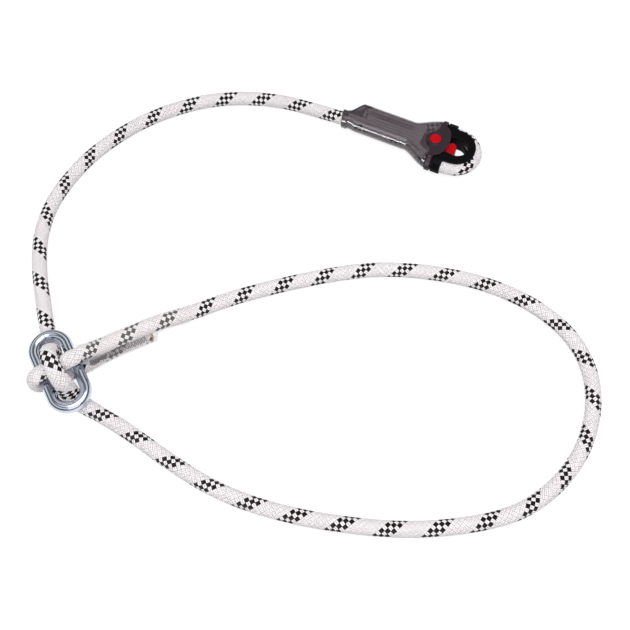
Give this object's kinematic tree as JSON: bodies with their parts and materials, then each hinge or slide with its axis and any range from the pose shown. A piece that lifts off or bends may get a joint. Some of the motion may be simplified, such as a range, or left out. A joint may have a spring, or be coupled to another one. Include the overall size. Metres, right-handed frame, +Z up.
{
  "type": "adjustable rope lanyard",
  "caption": "Kernmantle rope lanyard with a sewn thimble eye and keeper at one end and a large loop hitched through an oval steel ring.",
  "frame": {"origin": "on the table, under the middle of the lanyard's box as it lies", "axes": "+Z up from the table, +X from the ring towards the far end of the big loop, +Y towards the thimble's side"},
  "size_m": [0.411, 0.3642, 0.0398],
  "materials": {
    "rope_sheath": "braided white polyamide sheath with a black tracer",
    "ring_steel": "polished",
    "clear_sleeve": "milky clear shrink sleeve",
    "black_thread": "twisted thread",
    "smoky_cover": "smoky clear soft cover",
    "blank_label": "bare satin card",
    "black_plastic": "satin moulded",
    "dark_plastic": "dark translucent moulded",
    "red_plastic": "glossy moulded"
  },
  "bodies": {
    "root": {"rope_loop": "rope_sheath", "rope_anchor_leg": "rope_sheath", "rope_boot_stretch": "rope_sheath"},
    "adjuster": {"oval_ring": "ring_steel", "rope_bight": "rope_sheath", "rope_sewn_eye": "rope_sheath", "adjuster_sleeve": "clear_sleeve", "adjuster_stitching_front": "black_thread", "adjuster_stitching_back": "black_thread"},
    "termination": {"thimble": "black_plastic", "rope_thimble_eye": "rope_sheath", "termination_cover": "smoky_cover", "identification_label": "blank_label", "termination_stitching_front": "black_thread", "termination_stitching_back": "black_thread", "yoke_front": "dark_plastic", "yoke_back": "dark_plastic"},
    "keeper": {"keeper_lever": "red_plastic", "keeper_pivot": "red_plastic", "keeper_pivot_cap": "red_plastic"}
  },
  "joints": [
    {"name": "adjuster_slide", "type": "slide", "parent": "root", "child": "adjuster", "axis": [-0.1921, 0.9814, 0], "range_m": [0, 0.05], "deforming": ["rope_anchor_leg", "rope_loop"]},
    {"name": "termination_swing", "type": "hinge", "parent": "root", "child": "termination", "pos_m": [0.02926, 0.15411, 0.0083], "axis": [0, 0, 1], "range_deg": [-30, 30], "deforming": ["rope_boot_stretch"]},
    {"name": "keeper_turn", "type": "hinge", "parent": "termination", "child": "keeper", "pos_m": [0.10193, 0.12739, 0.0083], "axis": [0, 0, 1], "range_deg": [0, 12], "stiffness_Nm_per_rad": 0.05}
  ]
}
